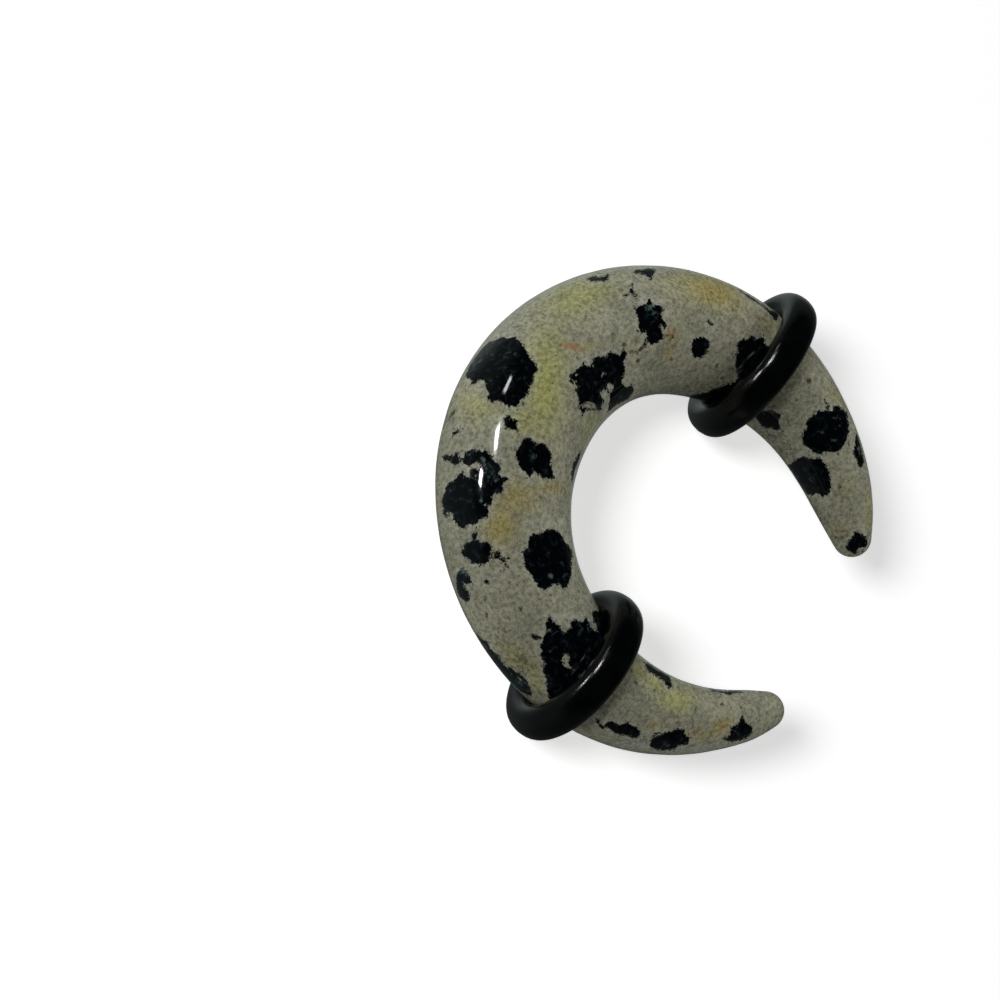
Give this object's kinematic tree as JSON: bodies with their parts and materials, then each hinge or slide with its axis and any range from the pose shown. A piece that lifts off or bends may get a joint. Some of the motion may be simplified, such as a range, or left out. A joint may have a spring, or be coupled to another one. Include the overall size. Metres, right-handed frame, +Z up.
{
  "type": "ear stretching taper",
  "caption": "Crescent ear stretching taper of polished spotted stone, thick in the middle and narrowing to two blunt tips, with a rubber O-ring on each arm.",
  "frame": {"origin": "on the surface that the crescent lies on, under the centre of its bounding box", "axes": "+X across the C from the left arm to the right arm, +Y from the thick middle towards the mouth between the tips, +Z up from the surface"},
  "size_m": [0.0318, 0.026, 0.0098],
  "materials": {
    "stone": "polished, cream with black spots",
    "rubber": "satin"
  },
  "bodies": {
    "root": {"stone_crescent": "stone", "o_ring_left": "rubber", "o_ring_right": "rubber"}
  },
  "joints": []
}
